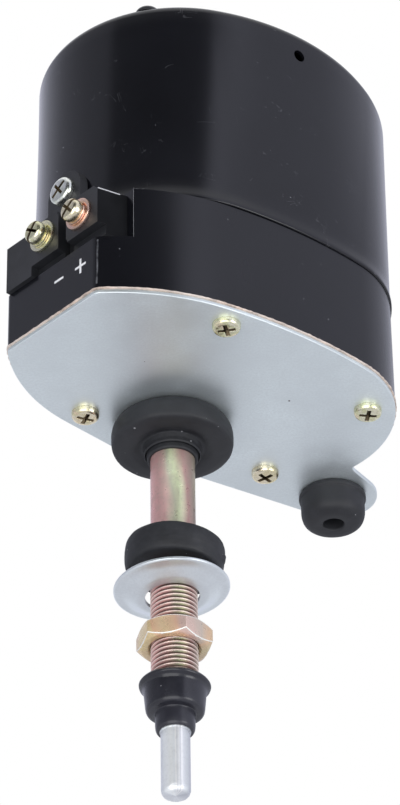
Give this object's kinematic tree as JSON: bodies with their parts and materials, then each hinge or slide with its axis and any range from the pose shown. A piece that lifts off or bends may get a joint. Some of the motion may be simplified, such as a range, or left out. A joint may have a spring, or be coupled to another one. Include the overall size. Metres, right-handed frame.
{
  "type": "wiper motor",
  "caption": "Electric wiper motor with a black D-shaped cover on a flat plate, clamped through a panel by a long threaded spindle tube that carries a sweeping output shaft.",
  "frame": {"origin": "on the output spindle axis, in the outer face of the base plate, where the spindle tube leaves it", "axes": "+Z along the spindle into the motor cover, so the wiper arm end points along -Z; -Y is the side with the vent hole; the terminal facet faces -X and -Y"},
  "size_m": [0.1, 0.1052, 0.209],
  "materials": {
    "cover_paint": "gloss black paint",
    "housing_paint": "gloss black paint on a casting",
    "plate_zinc": "zinc plated sheet, fine grain",
    "yellow_zinc": "yellow passivated zinc",
    "copper_zinc": "copper coloured passivation",
    "bright_zinc": "bright zinc",
    "rainbow_zinc": "iridescent yellow zinc",
    "shaft_steel": "ground steel",
    "black_rubber": "matte",
    "black_cap": "semi-gloss",
    "black_moulding": "matte",
    "gasket_card": "tan fibre",
    "bronze": "sintered bronze",
    "gear_steel": "oiled steel",
    "wheel_polymer": "natural acetal",
    "brass_parts": "brass",
    "motor_steel": "zinc plated",
    "ferrite": "ferrite",
    "core_steel": "stacked laminations",
    "copper": "enamelled copper",
    "carbon": "carbon",
    "spring_steel": "spring wire",
    "lead_insulation": "insulated lead"
  },
  "bodies": {
    "motor_unit": {"axle_bush": "bronze", "base_gasket": "gasket_card", "base_plate": "plate_zinc", "base_plate_screws": "yellow_zinc", "brush_plate": "black_moulding", "brush_springs": "spring_steel", "carbon_brushes": "carbon", "commutator_end_bell": "motor_steel", "contact_carrier": "black_moulding", "contact_carrier_screw": "gear_steel", "cover_plug": "black_rubber", "cover_seal": "black_rubber", "drive_end_plate": "motor_steel", "dust_cap": "black_cap", "field_magnets": "ferrite", "gear_housing": "housing_paint", "ground_screw": "bright_zinc", "locating_foot": "black_rubber", "motor_bushes": "bronze", "motor_case": "motor_steel", "motor_cover": "cover_paint", "motor_strap": "gear_steel", "motor_strap_screws": "gear_steel", "panel_grommet": "black_rubber", "park_contacts": "brass_parts", "rack_guide": "gear_steel", "rack_guide_screws": "gear_steel", "signal_terminal_screw": "yellow_zinc", "signal_terminal_washers": "yellow_zinc", "spindle_bush_lower": "bronze", "spindle_bush_upper": "bronze", "spindle_tube": "rainbow_zinc", "supply_lead": "lead_insulation", "supply_terminal_screw": "copper_zinc", "supply_terminal_washers": "copper_zinc", "terminal_block": "black_moulding", "terminal_inserts": "brass_parts", "thrust_screw": "gear_steel"},
    "armature": {"armature_shaft": "gear_steel", "armature_core": "core_steel", "armature_windings": "copper", "commutator": "copper", "worm": "gear_steel"},
    "wheel_set": {"worm_wheel": "wheel_polymer", "wheel_axle": "gear_steel", "crank_arm": "gear_steel", "crank_pin": "gear_steel", "park_disc": "brass_parts", "axle_circlip": "gear_steel", "axle_thrust_washer": "gear_steel"},
    "output_spindle": {"output_shaft": "shaft_steel", "output_pinion": "gear_steel", "pinion_circlip": "gear_steel", "pinion_thrust_washer": "gear_steel"},
    "rack": {"rack_yoke": "gear_steel"},
    "slider": {"yoke_slider": "gear_steel"},
    "ring": {"clamp_rubber_ring": "black_rubber"},
    "washer": {"clamp_washer": "bright_zinc"},
    "nut": {"mounting_nut": "rainbow_zinc"}
  },
  "joints": [
    {"name": "armature_spin", "type": "hinge", "parent": "motor_unit", "child": "armature", "pos_m": [0.027, -0.0215, 0.056], "axis": [1, 0, 0], "continuous": true},
    {"name": "wheel_spin", "type": "hinge", "parent": "motor_unit", "child": "wheel_set", "pos_m": [0.027, 0.001, 0.056], "axis": [0, 0, 1], "continuous": true},
    {"name": "spindle_sweep", "type": "hinge", "parent": "motor_unit", "child": "output_spindle", "pos_m": [0, 0, 0], "axis": [0, 0, 1], "range_deg": [-52.5, 52.5]},
    {"name": "rack_slide", "type": "slide", "parent": "motor_unit", "child": "rack", "axis": [0.9397, 0.342, 0], "range_m": [-0.0092, 0.0092]},
    {"name": "slider_slide", "type": "slide", "parent": "rack", "child": "slider", "axis": [-0.342, 0.9397, 0], "range_m": [-0.01832, 0]},
    {"name": "ring_slide", "type": "slide", "parent": "motor_unit", "child": "ring", "axis": [0, 0, 1], "range_m": [0, 0.025]},
    {"name": "washer_slide", "type": "slide", "parent": "motor_unit", "child": "washer", "axis": [0, 0, 1], "range_m": [0, 0.0025]},
    {"name": "nut_slide", "type": "slide", "parent": "motor_unit", "child": "nut", "axis": [0, 0, 1], "range_m": [-0.008, 0.009]}
  ],
  "couplings": [
    {"joint": "wheel_spin", "follows": "armature_spin", "ratio": -0.022222},
    {"joint": "rack_slide", "follows": "spindle_sweep", "m_per_rad": 0.01}
  ]
}
